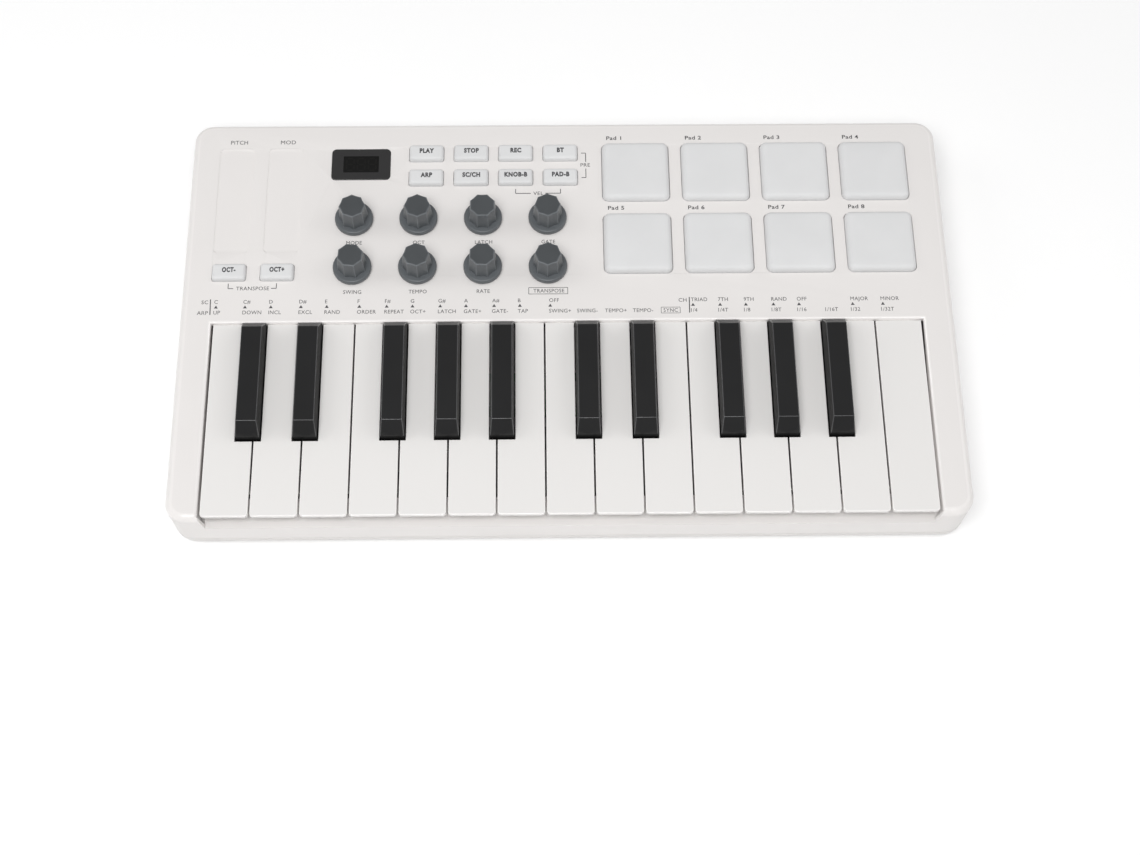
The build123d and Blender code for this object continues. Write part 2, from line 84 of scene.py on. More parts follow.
BUTTON_WORDS = {
    "button_play": "PLAY", "button_stop": "STOP", "button_rec": "REC", "button_bt": "BT",
    "button_arp": "ARP", "button_scale": "SC/CH", "button_knob_bank": "KNOB-B",
    "button_pad_bank": "PAD-B", "button_octave_down": "OCT-", "button_octave_up": "OCT+",
}
KEY_UNDER_PANEL = 17.3 * MM   # how far the keys reach back under the panel
KNOB_TURNS = [3.0, 1.0, 22.5, 2.0, 17.0, 4.0, 20.0, -2.0]


# ---- settings -----------------------------------------------------------
def colour_property(name, description, default):
    return FloatVectorProperty(name=name, description=description, default=default, subtype="COLOR",
                               min=0.0, max=1.0, size=3)


def length_property(name, description, default):
    return FloatProperty(name=name, description=description, default=default, unit="LENGTH",
                         min=0.0, precision=5)


def share_property(name, description, default, high=1.0):
    return FloatProperty(name=name, description=description, default=default, min=0.0, max=high,
                         subtype="FACTOR")


def power_property(name, description, default):
    return FloatProperty(name=name, description=description, default=default, min=0.0, unit="POWER")


class CaseSettings(bpy.types.PropertyGroup):
    """Finish of the two shells."""
    white: colour_property("Shell white", "Colour of the moulded shells", (0.80, 0.775, 0.76))
    roughness: share_property("Roughness", "Roughness of the shells", 0.42)
    grain: length_property("Grain size", "Size of the fine moulded grain", 0.00028)


class KeySettings(bpy.types.PropertyGroup):
    """Finish of the keys."""
    white: colour_property("White keys", "Colour of the white keys", (0.80, 0.785, 0.77))
    black: colour_property("Black keys", "Colour of the black keys", (0.0125, 0.0125, 0.0130))
    roughness: share_property("Roughness", "Roughness of the white keys", 0.30)


class ControlSettings(bpy.types.PropertyGroup):
    """Shape and finish of the knobs, pads and buttons."""
    knob_colour: colour_property("Knobs", "Colour of the knobs", (0.066, 0.072, 0.077))
    silicone: colour_property("Silicone", "Colour of the pads and buttons", (0.735, 0.737, 0.74))
    ridges: IntProperty(name="Ridges", description="Ridges round a knob", default=8, min=3, max=24)
    flute_depth: share_property("Flute depth", "Depth of a flute as a share of the radius", 0.135, 0.4)
    pad_round: length_property("Pad edge", "Rounding of a pad's top edge", 0.0023)
    pad_crown: length_property("Pad crown", "Rise of a pad towards its middle", 0.00025)
    button_round: length_property("Button edge", "Rounding of a button's top edge", 0.0013)


class LegendSettings(bpy.types.PropertyGroup):
    """The printed words and lines."""
    ink: colour_property("Ink", "Colour of the printed legends", (0.045, 0.045, 0.048))
    thickness: length_property("Thickness", "Thickness of the ink", 0.00004)
    small_cap: length_property("Small capitals", "Height of the small legends", 0.00172)
    bold_cap: length_property("Bold capitals", "Height of the bold legends", 0.00190)
    button_cap: length_property("Button capitals", "Height of the legends on the buttons", 0.0024)
    stroke: length_property("Line width", "Width of the thin lines", 0.00032)


class StudioSettings(bpy.types.PropertyGroup):
    """Floor, lights and camera."""
    floor: colour_property("Floor", "Colour of the floor", (0.90, 0.90, 0.90))
    glow: FloatProperty(name="Floor glow", description="Light given off by the backlit floor", default=0.13,
                        min=0.0)
    sky: FloatProperty(name="Sky", description="Strength of the even light all round", default=0.38, min=0.0)
    front_light: power_property("Front light", "Power of the large softbox over the camera", 12.0)
    side_light: power_property("Side lights", "Power of the softbox on each side", 2.4)
    lens: FloatProperty(name="Lens", description="Focal length of the camera", default=59.6, min=1.0)


GROUPS = {"keyboard_case": CaseSettings, "keyboard_keys": KeySettings, "keyboard_controls": ControlSettings,
          "keyboard_legends": LegendSettings, "keyboard_studio": StudioSettings}


# ---- materials ----------------------------------------------------------
def add_node(tree, kind, **values):
    node = tree.nodes.new(kind)
    for name, value in values.items():
        setattr(node, name, value)
    return node


def wire(node, **values):
    """Gives a node's inputs their sockets or plain values. An underscore in a name stands for a space."""
    for name, value in values.items():
        socket = node.inputs[name.replace("_", " ")]
        if isinstance(value, bpy.types.NodeSocket):
            node.id_data.links.new(value, socket)
        else:
            socket.default_value = value
    return node


def noise(tree, scale, detail=3.0, stretch=(1, 1, 1)):
    """A noise over the piece's own coordinates."""
    coords = add_node(tree, "ShaderNodeTexCoord").outputs["Object"]
    mapping = wire(add_node(tree, "ShaderNodeMapping"), Vector=coords, Scale=stretch)
    texture = wire(add_node(tree, "ShaderNodeTexNoise"), Vector=mapping.outputs["Vector"], Scale=scale,
                   Detail=detail)
    return texture.outputs["Fac"]


def spread(tree, value, low, high, start=0.35, end=0.65):
    """Maps a noise onto a narrow range."""
    node = wire(add_node(tree, "ShaderNodeMapRange"), Value=value, From_Min=start, From_Max=end,
                To_Min=low, To_Max=high)
    return node.outputs["Result"]


def two_tone(tree, factor, first, second):
    node = add_node(tree, "ShaderNodeMix", data_type="RGBA")
    return wire(node, Factor=factor, A=(*first, 1), B=(*second, 1)).outputs["Result"]


def relief(tree, shader, heights):
    """Chains bumps, finest first: each is (height socket, strength, depth in metres)."""
    last = None
    for height, strength, depth in heights:
        bump = wire(add_node(tree, "ShaderNodeBump"), Height=height, Strength=strength, Distance=depth)
        if last is not None:
            wire(bump, Normal=last)
        last = bump.outputs["Normal"]
    wire(shader, Normal=last)


def toned(colour, factor, ceiling=1.0):
    """A lighter or darker tone of a colour."""
    return tuple(min(c * factor, ceiling) for c in colour)


def start_material(name):
    material = bpy.data.materials.new(name)
    material.use_nodes = True
    return material, material.node_tree, material.node_tree.nodes["Principled BSDF"]


def moulded(name, colour, roughness, grain, depth, mottle=0.012, specular=0.5, coat=0.0, uneven=0.03):
    """Moulded plastic: a fine eroded grain, soft colour drift and uneven gloss."""
    material, tree, shader = start_material(name)
    drift = spread(tree, noise(tree, 22.0), 0, 1)
    gloss = spread(tree, noise(tree, 90.0, 2.0), roughness - uneven, roughness + uneven, 0.2, 0.8)
    wire(shader, Base_Color=two_tone(tree, drift, toned(colour, 1 - mottle), colour), Roughness=gloss,
         Specular_IOR_Level=specular, Coat_Weight=coat)
    fine, flow = noise(tree, 1.0 / grain, 2.0), noise(tree, 60.0, 1.0)
    relief(tree, shader, [(fine, 0.35, depth), (flow, 0.12, depth * 2)])
    return material


def painted_highlight_plastic(name, colour, roughness):
    """Moulded plastic whose ridges and rims carry a painted highlight, lighter by the piece's painted
    highlight attribute.
    """
    material, tree, shader = start_material(name)
    painted_highlight_mask = add_node(tree, "ShaderNodeAttribute", attribute_name="polish").outputs["Fac"]
    drift = spread(tree, noise(tree, 60.0), 0, 1)
    blend = wire(add_node(tree, "ShaderNodeMix", data_type="RGBA"),
                 Factor=spread(tree, painted_highlight_mask, 0.0, 0.85, 0.0, 1.0),
                 A=two_tone(tree, drift, toned(colour, 0.88), colour), B=(*toned(colour, HIGHLIGHT_LIGHTENING), 1))
    gloss = spread(tree, noise(tree, 90.0, 5.0), roughness - 0.04, roughness + 0.06)
    wire(shader, Base_Color=blend.outputs["Result"], Roughness=gloss)
    fine, flow = noise(tree, 4000.0, 2.0), noise(tree, 60.0, 1.0)
    relief(tree, shader, [(fine, 0.35, 0.00003), (flow, 0.1, 0.00005)])
    return material


def silicone(name, colour):
    """Matt silicone rubber with a faint bloom and fine dust specks."""
    material, tree, shader = start_material(name)
    drift = spread(tree, noise(tree, 45.0, 4.0), 0, 1)
    gloss = spread(tree, noise(tree, 300.0, 4.0), 0.50, 0.66)
    wire(shader, Base_Color=two_tone(tree, drift, toned(colour, 0.965), colour), Roughness=gloss,
         Specular_IOR_Level=0.4, Sheen_Weight=0.08)
    bloom, waves = noise(tree, 5200.0, 2.0), noise(tree, 700.0, 2.0)
    relief(tree, shader, [(bloom, 0.25, 0.00002), (waves, 0.10, 0.00002)])
    return material


def metal(name, colour, roughness, stretch=(1, 1, 1)):
    """Bare or plated metal with fine drawn lines."""
    material, tree, shader = start_material(name)
    lines = noise(tree, 900.0, 6.0, stretch)
    wire(shader, Base_Color=two_tone(tree, spread(tree, lines, 0, 1), toned(colour, 0.82), colour),
         Roughness=spread(tree, lines, roughness - 0.08, roughness + 0.1), Metallic=1.0)
    relief(tree, shader, [(lines, 0.3, 0.00002)])
    return material


def circuit(name, mask, track):
    """Solder mask over copper tracks."""
    material, tree, shader = start_material(name)
    coords = add_node(tree, "ShaderNodeTexCoord").outputs["Object"]
    bricks = wire(add_node(tree, "ShaderNodeTexBrick", offset=0.35, squash=1.6), Vector=coords, Scale=160.0,
                  Color1=(*mask, 1), Color2=(*toned(mask, 0.85), 1), Mortar=(*track, 1), Mortar_Size=0.03)
    wire(shader, Base_Color=bricks.outputs["Color"], Roughness=spread(tree, noise(tree, 400.0), 0.25, 0.4))
    relief(tree, shader, [(bricks.outputs["Fac"], 0.4, 0.00004)])
    return material


def gloss_window(name, colour, roughness):
    """Smoked acrylic: nearly black, polished, with faint hairlines."""
    material, tree, shader = start_material(name)
    hairs = noise(tree, 260.0, 6.0, (1, 9, 1))
    wire(shader, Base_Color=two_tone(tree, spread(tree, hairs, 0, 1), toned(colour, 0.9), colour),
         Roughness=spread(tree, hairs, roughness, roughness + 0.05), Coat_Weight=0.4, Coat_Roughness=0.05)
    relief(tree, shader, [(hairs, 0.04, 0.00001)])
    return material


def ink(name, colour):
    """Pad-printed ink: slightly uneven."""
    material, tree, shader = start_material(name)
    cover = spread(tree, noise(tree, 2600.0, 3.0), 0, 1)
    wire(shader, Base_Color=two_tone(tree, cover, colour, toned(colour, 1.9)),
         Roughness=spread(tree, noise(tree, 900.0), 0.5, 0.7))
    return material


MATERIALS = {}


def finish_of(name):
    """The material with that name, made on its first use."""
    if name not in MATERIALS:
        MATERIALS[name] = FINISHES[name](name, bpy.context.scene)
    return MATERIALS[name]


def shell(name, tone, roughness, grain_scale=1.0, depth=0.00003, coat=0.0):
    case = bpy.context.scene.keyboard_case
    return moulded(name, toned(case.white, tone, 0.93), roughness, case.grain * grain_scale, depth,
                   coat=coat)


def ivory(name, tone, gloss=0.0, **values):
    keys = bpy.context.scene.keyboard_keys
    return moulded(name, toned(keys.white, tone, 0.95), keys.roughness - gloss, 0.0004, 0.000012,
                   mottle=0.006, **values)


def ebony(name, tone, roughness, specular, depth=0.00003):
    colour = toned(bpy.context.scene.keyboard_keys.black, tone)
    return moulded(name, colour, roughness, 0.0003, depth, mottle=0.15, specular=specular)


def black_plastic(name, colour, roughness=0.45, depth=0.00003, specular=0.5):
    return moulded(name, colour, roughness, 0.0003, depth, 0.2, specular)


FINISHES = {
    "shell_white": lambda n, s: shell(n, 1.0, s.keyboard_case.roughness),
    # Painted highlight: the shell's rounded edges a little lighter and glossier than the flat faces.
    "shell_painted_highlight": lambda n, s: shell(n, 1.05, 0.32, depth=0.00002, coat=0.15),
    "lower_white": lambda n, s: shell(n, 0.93, 0.5, 1.6, 0.00004),
    "ivory_white": lambda n, s: ivory(n, 1.0, coat=0.12, uneven=0.012),
    # Painted light on the white keys: lighter rounded edges as a painted highlight, and lighter upright sides
    # standing in for light in the gaps.
    "ivory_painted_highlight": lambda n, s: ivory(n, 1.09, 0.05, coat=0.2, uneven=0.012),
    "ivory_painted_light_side": lambda n, s: ivory(n, 1.15),
    "ebony_black": lambda n, s: ebony(n, 1.0, 0.40, 0.32),
    # Painted light on the black keys: much lighter rounded top edges as a painted highlight, and darker
    # upright sides as painted shade.
    "ebony_painted_highlight": lambda n, s: ebony(n, 6.0, 0.26, 0.6, 0.00002),
    "ebony_painted_shade_side": lambda n, s: ebony(n, 0.5, 0.55, 0.15),
    # Knob plastic with painted highlights on its ridges, rim, foot, sides and skirt.
    "slate_knob": lambda n, s: painted_highlight_plastic(n, s.keyboard_controls.knob_colour, 0.38),
    "pad_silicone": lambda n, s: silicone(n, s.keyboard_controls.silicone),
    "dome_rubber": lambda n, s: silicone(n, (0.30, 0.31, 0.33)),
    "frame_plastic": lambda n, s: moulded(n, (0.32, 0.31, 0.30), 0.55, 0.0004, 0.00004, 0.2),
    "board_mask": lambda n, s: circuit(n, (0.01, 0.10, 0.035), (0.05, 0.24, 0.09)),
    "plated_steel": lambda n, s: metal(n, (0.60, 0.61, 0.63), 0.30, (1, 8, 1)),
    "black_steel": lambda n, s: metal(n, (0.10, 0.10, 0.11), 0.38),
    "socket_black": lambda n, s: black_plastic(n, (0.016, 0.016, 0.017)),
    "foot_rubber": lambda n, s: moulded(n, (0.022, 0.022, 0.023), 0.78, 0.0005, 0.00006, 0.25),
    "smoked_window": lambda n, s: gloss_window(n, (0.020, 0.0195, 0.020), 0.2),
    "led_face": lambda n, s: black_plastic(n, (0.0095, 0.0095, 0.0092), 0.5, depth=0.00001, specular=0.12),
    "led_segment": lambda n, s: black_plastic(n, (0.015, 0.0145, 0.014), 0.5, depth=0.00001, specular=0.12),
    "legend_ink": lambda n, s: ink(n, s.keyboard_legends.ink),
}


# ---- mesh helpers -------------------------------------------------------
def link(name, data):
    piece = bpy.data.objects.new(name, data)
    bpy.context.scene.collection.objects.link(piece)
    return piece


def mesh_of(name, bm):
    """Turns a bmesh into a mesh."""
    mesh = bpy.data.meshes.new(name)
    bm.to_mesh(mesh)
    bm.free()
    return mesh


def object_from(name, bm, finish, sharp=35.0):
    """Turns a bmesh into a smooth-shaded piece with sharp creases kept."""
    bmesh.ops.recalc_face_normals(bm, faces=bm.faces)
    mesh = mesh_of(name, bm)
    mesh.shade_smooth()
    mesh.set_sharp_from_angle(angle=math.radians(sharp))
    mesh.materials.append(finish_of(finish))
    return link(name, mesh)


def register_piece(piece, node, hide=True):
    """Puts a piece on its node's body, in place of the node."""
    body = piece_body(node)
    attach(piece, body)
    if hide:
        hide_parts(node)
    return piece


def piece_body(node):
    bodies = frame["record"]["behaviour"]["bodies"]
    return next(body for body, members in bodies.items() if node in members)


def centre(node):
    low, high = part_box(node)
    return (low + high) / 2


def rounded_faces(bm, lowest, flat_area):
    """The facets of the rounded edges above a level: those that share a direction cover little area."""
    areas = {}
    for face in bm.faces:
        heading = tuple(round(c, 2) for c in face.normal)
        areas[heading] = areas.get(heading, 0.0) + face.calc_area()
    return [face for face in bm.faces
            if face.calc_center_median().z > lowest and face.normal.z > UPRIGHT
            and areas[tuple(round(c, 2) for c in face.normal)] < flat_area]


def dressed_copy(node, finish, sharp=30.0, rule=None, painted_highlight_finish=None, edge_level=0.0,
                 edge_area=20 * MM * MM, painted_side_shading_finish=None):
    """A welded, smooth-shaded copy of a CAD node. rule picks another finish for each separate solid,
    the painted highlight finish goes on the rounded edges above edge_level, and the finish with painted
    side light and shade on the upright faces."""
    bm = bmesh.new()
    bm.from_mesh(frame["nodes"][node].data)
    bmesh.ops.remove_doubles(bm, verts=bm.verts, dist=1e-6)
    bm.normal_update()
    finishes = [finish]
    if painted_highlight_finish is not None:
        finishes.append(painted_highlight_finish)
        for face in rounded_faces(bm, edge_level, edge_area):
            face.material_index = 1
    if painted_side_shading_finish is not None:
        finishes.append(painted_side_shading_finish)
        for face in bm.faces:
            if face.material_index == 0 and abs(face.normal.z) < 0.3:
                face.material_index = len(finishes) - 1
    if rule is not None:
        for island in islands(bm):
            low, high = island_box(island)
            choice = rule(low, high)
            if choice not in finishes:
                finishes.append(choice)
            for face in {f for v in island for f in v.link_faces}:
                face.material_index = finishes.index(choice)
    mesh = mesh_of(node + "_moulding", bm)
    mesh.shade_smooth()
    mesh.set_sharp_from_angle(angle=math.radians(sharp))
    for name in finishes:
        mesh.materials.append(finish_of(name))
    piece = link(node + "_moulding", mesh)
    shading = piece.modifiers.new("even_shading", "WEIGHTED_NORMAL")
    shading.mode = "FACE_AREA"
    shading.keep_sharp = True
    return register_piece(piece, node)


def islands(bm):
    """Groups of joined vertices, one for each solid."""
    left = set(bm.verts)
    groups = []
    while left:
        group = {left.pop()}
        edge_of_group = set(group)
        while edge_of_group:
            near = {e.other_vert(v) for v in edge_of_group for e in v.link_edges} - group
            group |= near
            edge_of_group = near
        left -= group
        groups.append(group)
    return groups


def island_box(island):
    low = Vector(min(v.co[i] for v in island) for i in range(3))
    high = Vector(max(v.co[i] for v in island) for i in range(3))
    return low, high


def rounded_ring(x, y, half_w, half_d, radius, z, corner_steps=8):
    """Points of a rounded rectangle, anticlockwise."""
    points = []
    for corner, (sx, sy) in enumerate([(1, 1), (-1, 1), (-1, -1), (1, -1)]):
        for step in range(corner_steps + 1):
            angle = math.radians(90 * corner + 90 * step / corner_steps)
            points.append((x + sx * (half_w - radius) + radius * math.cos(angle),
                           y + sy * (half_d - radius) + radius * math.sin(angle), z))
    return points


def skin_rings(rings):
    """A closed skin over a stack of rings with equal numbers of points."""
    bm = bmesh.new()
    loops = [[bm.verts.new(p) for p in ring] for ring in rings]
    count = len(rings[0])
    for a, b in zip(loops, loops[1:]):
        for i in range(count):
            j = (i + 1) % count
            bm.faces.new((a[i], a[j], b[j], b[i]))
    bm.faces.new(list(reversed(loops[0])))
    bm.faces.new(loops[-1])
    return bm


def quarter_round(edge, steps):
    """From the foot of a rounded edge up: how far it goes in, and how far it stays under its top."""
    for step in range(steps + 1):
        angle = math.radians(90 * step / steps)
        yield edge * (1 - math.cos(angle)), edge * (1 - math.sin(angle))


def cap_rings(x, y, half_w, half_d, corner, top, edge, crown, side_bottom, flare=0.0):
    """Rings of a cap: a side that leans in from its flared foot, a quarter-round edge and a crowned top."""
    rings = [rounded_ring(x, y, half_w + flare, half_d + flare, corner + flare, side_bottom)]
    rings += [rounded_ring(x, y, half_w - inset, half_d - inset, max(corner - inset * 0.6, 0.3 * MM),
                           top - crown - drop) for inset, drop in quarter_round(edge, 6)]
    for share in (0.80, 0.55, 0.3, 0.1):
        inset_w, inset_d = (half_w - edge) * share, (half_d - edge) * share
        rings.append(rounded_ring(x, y, inset_w, inset_d, min(corner, inset_w, inset_d) * 0.7,
                                  top - crown * share ** 2))
    return rings


def rimmed_cap(node, overhang, corner, rim_corner, rim_thickness, stem, top, edge, crown):
    """A soft cap on its stem, with the rim under the panel that holds it in."""
    low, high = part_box(node)
    x, y, _ = centre(node)
    rim_w, rim_d = (high.x - low.x) / 2, (high.y - low.y) / 2
    half_w, half_d = rim_w - overhang, rim_d - overhang
    rim_top = PANEL_TOP - RIM_DEPTH
    rings = [rounded_ring(x, y, stem, stem, stem * 0.999, z) for z in (low.z, rim_top - rim_thickness)]
    rings += [rounded_ring(x, y, rim_w, rim_d, rim_corner, z) for z in (rim_top - rim_thickness, rim_top)]
    rings.append(rounded_ring(x, y, half_w + CAP_FLARE, half_d + CAP_FLARE, corner + CAP_FLARE, rim_top))
    rings += cap_rings(x, y, half_w, half_d, corner, top, edge, crown, PANEL_TOP - 0.4 * MM, CAP_FLARE)
    return skin_rings(rings)


# ---- geometry nodes -----------------------------------------------------
def new_tree(name, sizes):
    """A geometry tree with named inputs. Returns the tree, its input sockets and the identifiers."""
    tree = bpy.data.node_groups.new(name, "GeometryNodeTree")
    tree.interface.new_socket("Geometry", in_out="INPUT", socket_type="NodeSocketGeometry")
    identifiers = {}
    for label, default in sizes.items():
        kind = "NodeSocketInt" if isinstance(default, int) else "NodeSocketFloat"
        socket = tree.interface.new_socket(label, in_out="INPUT", socket_type=kind)
        socket.default_value = default
        identifiers[label] = socket.identifier
    tree.interface.new_socket("Geometry", in_out="OUTPUT", socket_type="NodeSocketGeometry")
    return tree, add_node(tree, "NodeGroupInput").outputs, identifiers


def close_tree(tree, geometry, finish):
    """Ends a tree in Realize Instances and Set Material."""
    realize = wire(add_node(tree, "GeometryNodeRealizeInstances"), Geometry=geometry)
    paint = wire(add_node(tree, "GeometryNodeSetMaterial"), Geometry=realize.outputs["Geometry"],
                 Material=finish_of(finish))
    wire(add_node(tree, "NodeGroupOutput"), Geometry=paint.outputs["Geometry"])


def calc(tree, operation, first, second=0.0):
    """A maths node on sockets or plain numbers."""
    node = add_node(tree, "ShaderNodeMath", operation=operation)
    for socket, value in zip(node.inputs, (first, second)):
        if isinstance(value, (int, float)):
            socket.default_value = value
        else:
            tree.links.new(value, socket)
    return node.outputs["Value"]


def grown(name, seed_mesh, tree, identifiers, values, finish):
    """Runs a tree on a seed mesh and returns the result as a plain piece."""
    seed = link(name + "_seed", seed_mesh)
    modifier = seed.modifiers.new("grow", "NODES")
    modifier.node_group = tree
    for label, value in values.items():
        modifier[identifiers[label]] = value
    depsgraph = bpy.context.evaluated_depsgraph_get()
    mesh = bpy.data.meshes.new_from_object(seed.evaluated_get(depsgraph), depsgraph=depsgraph)
    mesh.name = name
    seed.modifiers.clear()
    bpy.data.objects.remove(seed)
    if not mesh.materials:
        mesh.materials.append(finish_of(finish))
    mesh.shade_smooth()
    mesh.set_sharp_from_angle(angle=math.radians(32))
    return link(name, mesh)


def knob_tree():
    """A turned body whose radius is cut by flutes between sharp ridges."""
    tree, given, names = new_tree("fluted_knob", {
        "Ridges": 8, "Foot Radius": 0.0064, "Top Radius": 0.0055, "Foot Height": 0.0298,
        "Top Height": 0.039, "Flute Depth": 0.13, "Flute Fade": 0.3, "Edge": 0.0003, "Turn": 0.0})
    add, less, times, over, most, power = (
        partial(calc, tree, word)
        for word in ("ADD", "SUBTRACT", "MULTIPLY", "DIVIDE", "MAXIMUM", "POWER"))
    stem = wire(add_node(tree, "GeometryNodeMeshCylinder", fill_type="TRIANGLE_FAN"), Radius=1.0, Depth=1.0,
                Vertices=KNOB_SIDES, Side_Segments=KNOB_ROWS, Fill_Segments=KNOB_TOP_RINGS)
    place = add_node(tree, "GeometryNodeInputPosition").outputs["Position"]
    split = wire(add_node(tree, "ShaderNodeSeparateXYZ"), Vector=place)
    x, y, z = (split.outputs[i] for i in "XYZ")
    # The unit cylinder's height gives the row of points, and its distance from the axis the share of
    # the radius, which is under one only on the two flat ends.
    shoulder = KNOB_ROWS - 2
    row = times(add(z, 0.5), KNOB_ROWS)
    side = over(calc(tree, "MINIMUM", row, shoulder), shoulder)
    bend = times(over(most(less(row, shoulder), 0.0), 2.0), math.pi / 2)
    share = calc(tree, "SQRT", add(times(x, x), times(y, y)))
    # A flute is deepest midway between two ridges.
    angle = calc(tree, "ARCTAN2", y, x)
    turn = over(times(angle, given["Ridges"]), 2 * math.pi)
    phase = times(calc(tree, "ABSOLUTE", less(calc(tree, "FRACT", add(turn, 20.0)), 0.5)), 2.0)
    depth = times(given["Flute Depth"], less(1.0, times(side, given["Flute Fade"])))
    cut = times(depth, less(1.0, power(phase, 2.0)))
    taper = times(less(given["Top Radius"], given["Foot Radius"]), side)
    bend_in = times(given["Edge"], less(1.0, calc(tree, "COSINE", bend)))
    bend_up = times(given["Edge"], calc(tree, "SINE", bend))
    radius = less(add(given["Foot Radius"], taper), bend_in)
    radius = times(times(radius, less(1.0, cut)), share)
    tall = less(less(given["Top Height"], given["Foot Height"]), given["Edge"])
    height = add(given["Foot Height"], add(times(tall, side), bend_up))
    heading = add(angle, given["Turn"])
    spot = wire(add_node(tree, "ShaderNodeCombineXYZ"), X=times(radius, calc(tree, "COSINE", heading)),
                Y=times(radius, calc(tree, "SINE", heading)), Z=height)
    # Painted highlight: the ridges, the rim and the foot are painted lighter than the sides, the sides a
    # little lighter than the flat top, which gets none.
    on_ridge = power(phase, 20.0)
    on_rim = calc(tree, "COMPARE", row, KNOB_ROWS - 1.5)
    on_rim.node.inputs[2].default_value = 0.9
    on_foot = calc(tree, "COMPARE", row, 0.0)
    on_foot.node.inputs[2].default_value = 0.6
    painted_light = times(most(on_rim, on_foot), 0.9)
    painted_light = most(most(painted_light, on_ridge), SIDE_PAINTED_LIGHT)
    polish = times(painted_light, calc(tree, "GREATER_THAN", share, 0.95))
    capture = wire(add_node(tree, "GeometryNodeCaptureAttribute", domain="POINT"),
                   Geometry=stem.outputs["Mesh"])
    capture.capture_items.new("FLOAT", "polish")
    tree.links.new(polish, capture.inputs[1])
    move = wire(add_node(tree, "GeometryNodeSetPosition"), Geometry=capture.outputs["Geometry"],
                Position=spot.outputs["Vector"])
    mark = wire(add_node(tree, "GeometryNodeStoreNamedAttribute", data_type="FLOAT", domain="POINT"),
                Geometry=move.outputs["Geometry"], Name="polish", Value=capture.outputs[1])
    both = wire(add_node(tree, "GeometryNodeJoinGeometry"), Geometry=given["Geometry"])
    wire(both, Geometry=mark.outputs["Geometry"])
    close_tree(tree, both.outputs["Geometry"], "slate_knob")
    return tree, names


def marks_tree():
    """A small three-sided print mark at every point of the seed."""
    tree, given, names = new_tree("print_marks", {"Size": 0.0011, "Thickness": 0.00004})
    mark = wire(add_node(tree, "GeometryNodeMeshCylinder"), Vertices=3, Radius=given["Size"],
                Depth=given["Thickness"])
    turn = wire(add_node(tree, "FunctionNodeEulerToRotation"), Euler=(0, 0, math.pi / 2))
    repeat = wire(add_node(tree, "GeometryNodeInstanceOnPoints"), Points=given["Geometry"],
                  Instance=mark.outputs["Mesh"], Rotation=turn.outputs["Rotation"])
    close_tree(tree, repeat.outputs["Instances"], "legend_ink")
    return tree, names


# ---- pieces -------------------------------------------------------------
def control_rule(low, high):
    """Finish of each solid soldered to the control board."""
    width = high.x - low.x
    if width > 0.05:
        return "board_mask"
    if abs(width - 12 * MM) < 0.1 * MM:
        return "plated_steel"
    return "socket_black"


def socket_rule(low, high):
    if high.z - low.z < 3 * MM:
        return "board_mask"
    return "plated_steel" if abs(high.x - low.x - 12 * MM) < 0.2 * MM else "socket_black"


def contact_rule(low, high):
    return "board_mask" if high.z - low.z < 2 * MM else "dome_rubber"


class KEYBOARD_OT_shells(bpy.types.Operator):
    """Dress the two case shells, the screws and the feet."""
    bl_idname = "keyboard.shells"
    bl_label = "Case shells"

    def execute(self, context):
        # The rounded edges of the upper shell get a painted highlight.
        dressed_copy("upper_case", "shell_white", painted_highlight_finish="shell_painted_highlight", edge_level=17 * MM,
                     edge_area=400 * MM * MM)
        dressed_copy("lower_case", "lower_white")
        dressed_copy("screws", "black_steel")
        dressed_copy("rubber_feet", "foot_rubber")
        return {"FINISHED"}


class KEYBOARD_OT_works(bpy.types.Operator):
    """Dress the chassis, the boards and the rear sockets."""
    bl_idname = "keyboard.works"
    bl_label = "Inner works"

    def execute(self, context):
        dressed_copy("key_frame", "frame_plastic")
        dressed_copy("key_contacts", "dome_rubber", rule=contact_rule)
        dressed_copy("control_board", "board_mask", rule=control_rule)
        dressed_copy("rear_sockets", "socket_black", rule=socket_rule)
        return {"FINISHED"}


class KEYBOARD_OT_white_keys(bpy.types.Operator):
    """Dress the white keys."""
    bl_idname = "keyboard.white_keys"
    bl_label = "White keys"

    def execute(self, context):
        for node in WHITE_NODES:
            # The rounded top edges get a painted highlight, and the upright sides painted light.
            dressed_copy(node, "ivory_white", painted_highlight_finish="ivory_painted_highlight",
                         edge_level=KEY_TOP - 2 * MM, painted_side_shading_finish="ivory_painted_light_side")
        return {"FINISHED"}


class KEYBOARD_OT_black_keys(bpy.types.Operator):
    """Dress the black keys."""
    bl_idname = "keyboard.black_keys"
    bl_label = "Black keys"

    def execute(self, context):
        for node in BLACK_NODES:
            # The rounded top edges get a painted highlight, and the upright sides painted shade.
            dressed_copy(node, "ebony_black", painted_highlight_finish="ebony_painted_highlight", edge_level=KEY_TOP,
                         painted_side_shading_finish="ebony_painted_shade_side")
        return {"FINISHED"}


def circle(radius, z, count):
    return [(radius * math.cos(a), radius * math.sin(a), z)
            for a in (2 * math.pi * i / count for i in range(count))]


